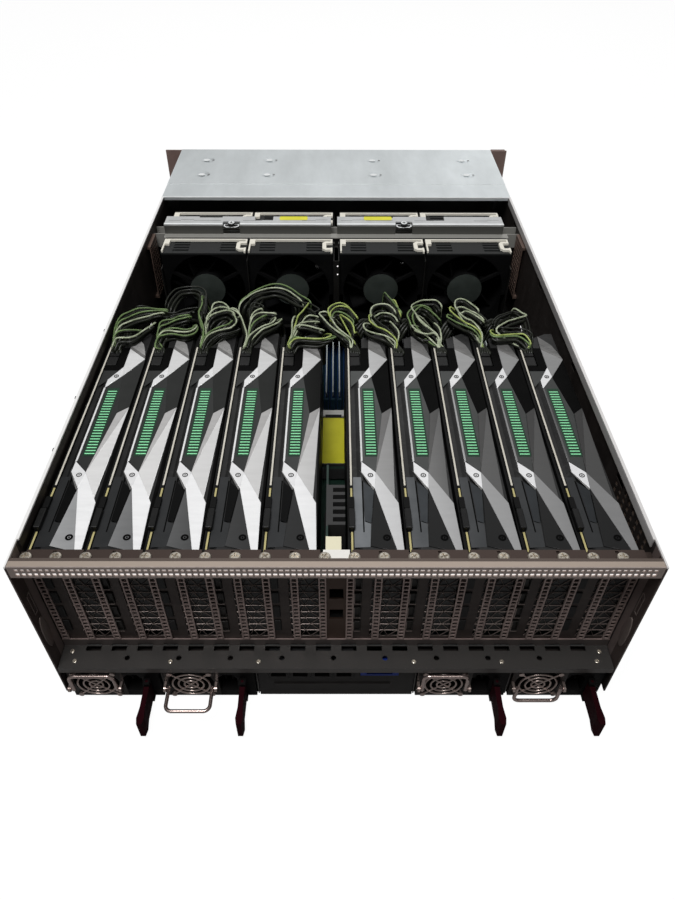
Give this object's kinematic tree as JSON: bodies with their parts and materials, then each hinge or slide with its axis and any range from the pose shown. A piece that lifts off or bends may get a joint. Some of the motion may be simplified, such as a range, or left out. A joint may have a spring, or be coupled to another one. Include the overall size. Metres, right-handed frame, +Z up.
{
  "type": "rack server",
  "caption": "Four-unit rack server, lid off: dual-slot graphics cards, a low network card, two rows of lift-out fans, slide-out power supplies, front drive bay and rack ears.",
  "frame": {"origin": "on the plane the chassis stands on, under the middle of the overall box (between the rear release tabs and the front ear handles)", "axes": "+X to the right seen from behind, +Y from the rear panel towards the front ears, +Z up"},
  "size_m": [0.4826, 0.803, 0.178],
  "materials": {
    "chassis_steel": "satin dark paint",
    "rear_steel": "satin brown-grey",
    "zinc_steel": "galvanised",
    "board_green": "glass-fibre board",
    "card_black": "black board",
    "shroud_black": "fine grain",
    "trim_silver": "bead blasted",
    "bracket_grey": "dark plated",
    "bracket_copper": "copper brown",
    "lead_sleeve": "braided sleeve",
    "duct_black": "moulded",
    "fin_aluminium": "mill finish",
    "module_blue": "sockets and modules",
    "fan_black": "moulded",
    "blade_black": "moulded",
    "cage_black": "satin black",
    "carrier_black": "moulded",
    "ear_brown": "satin",
    "psu_steel": "satin",
    "handle_steel": "polished wire",
    "tab_maroon": "moulded",
    "button_grey": "gloss"
  },
  "bodies": {
    "chassis": {"chassis_tray": "chassis_steel", "slot_wall": "rear_steel", "top_rail": "rear_steel", "gpu_tray": "zinc_steel", "gpu_baseboard": "board_green", "gpu_boards": "card_black", "gpu_shrouds": "shroud_black", "gpu_trims": "trim_silver", "gpu_brackets": "bracket_grey", "network_card": "bracket_copper", "power_leads": "lead_sleeve", "power_board": "duct_black", "main_board": "board_green", "cpu_coolers": "fin_aluminium", "memory_modules": "module_blue", "io_panel": "cage_black", "fan_cage": "cage_black", "drive_cage": "zinc_steel", "drive_carriers": "carrier_black", "drive_cover": "zinc_steel", "front_grille": "cage_black", "ear_left": "ear_brown", "ear_right": "ear_brown"},
    "button": {"power_button": "button_grey"},
    "psu_1": {"psu_case_1": "psu_steel"},
    "psu_bail_1": {"psu_handle_1": "handle_steel"},
    "psu_release_1": {"psu_tab_1": "tab_maroon"},
    "psu_blades_1": {"psu_rotor_1": "blade_black"},
    "psu_2": {"psu_case_2": "psu_steel"},
    "psu_bail_2": {"psu_handle_2": "handle_steel"},
    "psu_release_2": {"psu_tab_2": "tab_maroon"},
    "psu_blades_2": {"psu_rotor_2": "blade_black"},
    "psu_3": {"psu_case_3": "psu_steel"},
    "psu_bail_3": {"psu_handle_3": "handle_steel"},
    "psu_release_3": {"psu_tab_3": "tab_maroon"},
    "psu_blades_3": {"psu_rotor_3": "blade_black"},
    "psu_4": {"psu_case_4": "psu_steel"},
    "psu_bail_4": {"psu_handle_4": "handle_steel"},
    "psu_release_4": {"psu_tab_4": "tab_maroon"},
    "psu_blades_4": {"psu_rotor_4": "blade_black"},
    "fan_1": {"fan_module_1": "fan_black"},
    "fan_blades_1": {"fan_rotor_1": "blade_black"},
    "fan_2": {"fan_module_2": "fan_black"},
    "fan_blades_2": {"fan_rotor_2": "blade_black"},
    "fan_3": {"fan_module_3": "fan_black"},
    "fan_blades_3": {"fan_rotor_3": "blade_black"},
    "fan_4": {"fan_module_4": "fan_black"},
    "fan_blades_4": {"fan_rotor_4": "blade_black"},
    "fan_5": {"fan_module_5": "fan_black"},
    "fan_blades_5": {"fan_rotor_5": "blade_black"},
    "fan_6": {"fan_module_6": "fan_black"},
    "fan_blades_6": {"fan_rotor_6": "blade_black"},
    "fan_7": {"fan_module_7": "fan_black"},
    "fan_blades_7": {"fan_rotor_7": "blade_black"},
    "fan_8": {"fan_module_8": "fan_black"},
    "fan_blades_8": {"fan_rotor_8": "blade_black"},
    "bar_1": {"retainer_bar_1": "zinc_steel"},
    "latch_1": {"bar_latch_1": "fan_black"},
    "bar_2": {"retainer_bar_2": "zinc_steel"},
    "latch_2": {"bar_latch_2": "fan_black"}
  },
  "joints": [
    {"name": "power_button_press", "type": "slide", "parent": "chassis", "child": "button", "axis": [0, -1, 0], "range_m": [0, 0.0012], "stiffness_N_per_m": 400},
    {"name": "psu_1_slide", "type": "slide", "parent": "chassis", "child": "psu_1", "axis": [0, -1, 0], "range_m": [0, 0.26]},
    {"name": "psu_1_handle_swing", "type": "hinge", "parent": "psu_1", "child": "psu_bail_1", "pos_m": [-0.19365, -0.3697, 0.0215], "axis": [1, 0, 0], "range_deg": [0, 180]},
    {"name": "psu_1_release_squeeze", "type": "hinge", "parent": "psu_1", "child": "psu_release_1", "pos_m": [-0.15165, -0.3675, 0.016], "axis": [0, 0, 1], "range_deg": [-8, 0], "stiffness_Nm_per_rad": 0.6},
    {"name": "psu_1_fan_spin", "type": "hinge", "parent": "psu_1", "child": "psu_blades_1", "pos_m": [-0.19365, -0.3525, 0.0215], "axis": [0, 1, 0], "continuous": true},
    {"name": "psu_2_slide", "type": "slide", "parent": "chassis", "child": "psu_2", "axis": [0, -1, 0], "range_m": [0, 0.26]},
    {"name": "psu_2_handle_swing", "type": "hinge", "parent": "psu_2", "child": "psu_bail_2", "pos_m": [-0.11715, -0.3697, 0.0215], "axis": [1, 0, 0], "range_deg": [-90, 90]},
    {"name": "psu_2_release_squeeze", "type": "hinge", "parent": "psu_2", "child": "psu_release_2", "pos_m": [-0.07515, -0.3675, 0.016], "axis": [0, 0, 1], "range_deg": [-8, 0], "stiffness_Nm_per_rad": 0.6},
    {"name": "psu_2_fan_spin", "type": "hinge", "parent": "psu_2", "child": "psu_blades_2", "pos_m": [-0.11715, -0.3525, 0.0215], "axis": [0, 1, 0], "continuous": true},
    {"name": "psu_3_slide", "type": "slide", "parent": "chassis", "child": "psu_3", "axis": [0, -1, 0], "range_m": [0, 0.26]},
    {"name": "psu_3_handle_swing", "type": "hinge", "parent": "psu_3", "child": "psu_bail_3", "pos_m": [0.08685, -0.3697, 0.0215], "axis": [1, 0, 0], "range_deg": [0, 180]},
    {"name": "psu_3_release_squeeze", "type": "hinge", "parent": "psu_3", "child": "psu_release_3", "pos_m": [0.12885, -0.3675, 0.016], "axis": [0, 0, 1], "range_deg": [-8, 0], "stiffness_Nm_per_rad": 0.6},
    {"name": "psu_3_fan_spin", "type": "hinge", "parent": "psu_3", "child": "psu_blades_3", "pos_m": [0.08685, -0.3525, 0.0215], "axis": [0, 1, 0], "continuous": true},
    {"name": "psu_4_slide", "type": "slide", "parent": "chassis", "child": "psu_4", "axis": [0, -1, 0], "range_m": [0, 0.26]},
    {"name": "psu_4_handle_swing", "type": "hinge", "parent": "psu_4", "child": "psu_bail_4", "pos_m": [0.16335, -0.3697, 0.0215], "axis": [1, 0, 0], "range_deg": [-180, 0]},
    {"name": "psu_4_release_squeeze", "type": "hinge", "parent": "psu_4", "child": "psu_release_4", "pos_m": [0.20535, -0.3675, 0.016], "axis": [0, 0, 1], "range_deg": [-8, 0], "stiffness_Nm_per_rad": 0.6},
    {"name": "psu_4_fan_spin", "type": "hinge", "parent": "psu_4", "child": "psu_blades_4", "pos_m": [0.16335, -0.3525, 0.0215], "axis": [0, 1, 0], "continuous": true},
    {"name": "fan_1_lift", "type": "slide", "parent": "chassis", "child": "fan_1", "axis": [0, 0, 1], "range_m": [0, 0.1]},
    {"name": "fan_1_spin", "type": "hinge", "parent": "fan_1", "child": "fan_blades_1", "pos_m": [-0.1515, 0.1051, 0.1185], "axis": [0, 1, 0], "continuous": true},
    {"name": "fan_2_lift", "type": "slide", "parent": "chassis", "child": "fan_2", "axis": [0, 0, 1], "range_m": [0, 0.1]},
    {"name": "fan_2_spin", "type": "hinge", "parent": "fan_2", "child": "fan_blades_2", "pos_m": [-0.0525, 0.1051, 0.1185], "axis": [0, 1, 0], "continuous": true},
    {"name": "fan_3_lift", "type": "slide", "parent": "chassis", "child": "fan_3", "axis": [0, 0, 1], "range_m": [0, 0.1]},
    {"name": "fan_3_spin", "type": "hinge", "parent": "fan_3", "child": "fan_blades_3", "pos_m": [0.0525, 0.1051, 0.1185], "axis": [0, 1, 0], "continuous": true},
    {"name": "fan_4_lift", "type": "slide", "parent": "chassis", "child": "fan_4", "axis": [0, 0, 1], "range_m": [0, 0.1]},
    {"name": "fan_4_spin", "type": "hinge", "parent": "fan_4", "child": "fan_blades_4", "pos_m": [0.1515, 0.1051, 0.1185], "axis": [0, 1, 0], "continuous": true},
    {"name": "fan_5_lift", "type": "slide", "parent": "chassis", "child": "fan_5", "axis": [0, 0, 1], "range_m": [0, 0.1]},
    {"name": "fan_5_spin", "type": "hinge", "parent": "fan_5", "child": "fan_blades_5", "pos_m": [-0.1515, 0.1756, 0.1185], "axis": [0, 1, 0], "continuous": true},
    {"name": "fan_6_lift", "type": "slide", "parent": "chassis", "child": "fan_6", "axis": [0, 0, 1], "range_m": [0, 0.1]},
    {"name": "fan_6_spin", "type": "hinge", "parent": "fan_6", "child": "fan_blades_6", "pos_m": [-0.0525, 0.1756, 0.1185], "axis": [0, 1, 0], "continuous": true},
    {"name": "fan_7_lift", "type": "slide", "parent": "chassis", "child": "fan_7", "axis": [0, 0, 1], "range_m": [0, 0.1]},
    {"name": "fan_7_spin", "type": "hinge", "parent": "fan_7", "child": "fan_blades_7", "pos_m": [0.0525, 0.1756, 0.1185], "axis": [0, 1, 0], "continuous": true},
    {"name": "fan_8_lift", "type": "slide", "parent": "chassis", "child": "fan_8", "axis": [0, 0, 1], "range_m": [0, 0.1]},
    {"name": "fan_8_spin", "type": "hinge", "parent": "fan_8", "child": "fan_blades_8", "pos_m": [0.1515, 0.1756, 0.1185], "axis": [0, 1, 0], "continuous": true},
    {"name": "bar_1_lift", "type": "slide", "parent": "chassis", "child": "bar_1", "axis": [0, 0, 1], "range_m": [0, 0.04]},
    {"name": "bar_1_latch_slide", "type": "slide", "parent": "bar_1", "child": "latch_1", "axis": [0, -1, 0], "range_m": [0, 0.004], "stiffness_N_per_m": 500},
    {"name": "bar_2_lift", "type": "slide", "parent": "chassis", "child": "bar_2", "axis": [0, 0, 1], "range_m": [0, 0.04]},
    {"name": "bar_2_latch_slide", "type": "slide", "parent": "bar_2", "child": "latch_2", "axis": [0, -1, 0], "range_m": [0, 0.004], "stiffness_N_per_m": 500}
  ]
}
